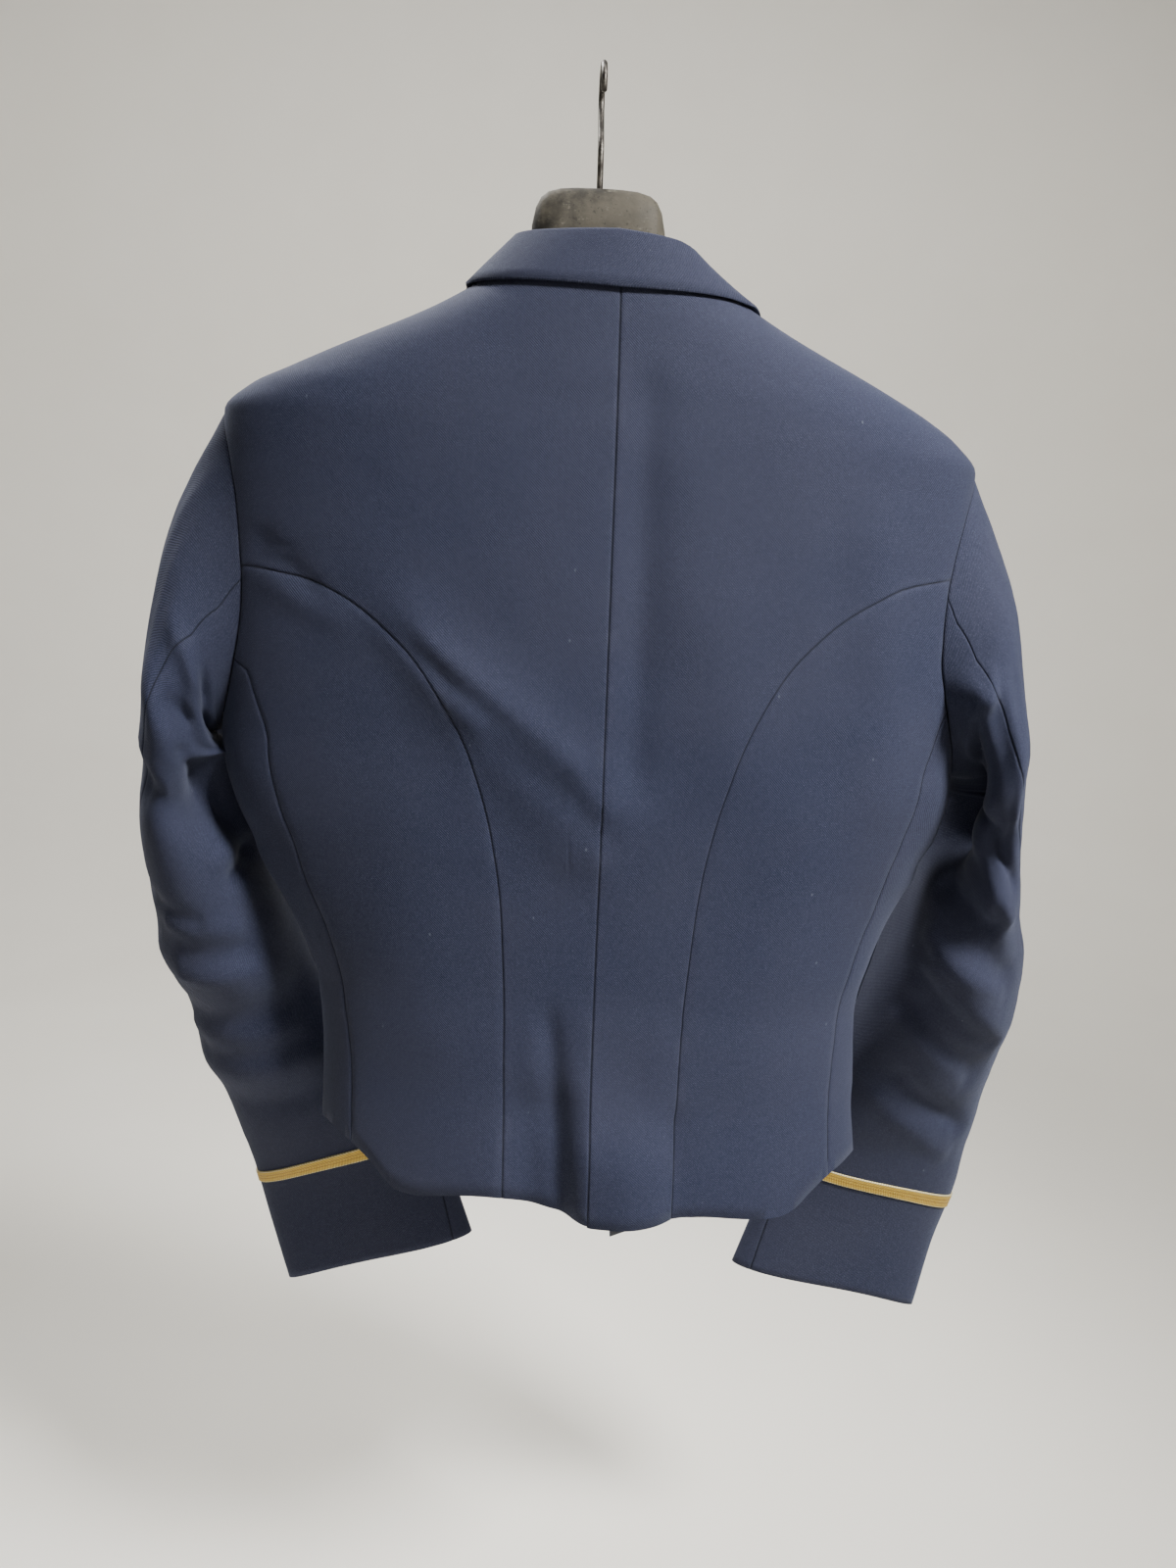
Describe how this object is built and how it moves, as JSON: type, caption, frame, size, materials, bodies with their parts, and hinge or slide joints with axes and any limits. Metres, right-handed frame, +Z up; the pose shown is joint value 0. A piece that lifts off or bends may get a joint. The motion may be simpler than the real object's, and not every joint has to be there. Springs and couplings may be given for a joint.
{
  "type": "mess jacket on a hanger",
  "caption": "Waist-length wool mess jacket with a turned-down collar, lapels and a gold lace band on each cuff, hung open-fronted on a broad contoured hanger with a wire hook.",
  "frame": {"origin": "inside crown of the hook, where a rail bears", "axes": "+Z up, out of the hook's crown; +Y towards the jacket's back; +X towards the wearer's left"},
  "size_m": [0.5886, 0.1892, 0.839],
  "materials": {
    "wool": "matte fine twill, blue-grey",
    "gold_lace": "woven metallic thread",
    "worn_plastic": "scuffed grey-black",
    "steel_wire": "dull dark wire"
  },
  "bodies": {
    "root": {"back_left": "wool", "back_right": "wool", "side_body_left": "wool", "side_body_right": "wool", "front_left": "wool", "front_right": "wool", "lapel_left": "wool", "lapel_right": "wool", "collar": "wool", "top_sleeve_left": "wool", "top_sleeve_right": "wool", "under_sleeve_left": "wool", "under_sleeve_right": "wool", "braid_left": "gold_lace", "braid_right": "gold_lace", "hanger": "worn_plastic", "hook": "steel_wire"}
  },
  "joints": []
}
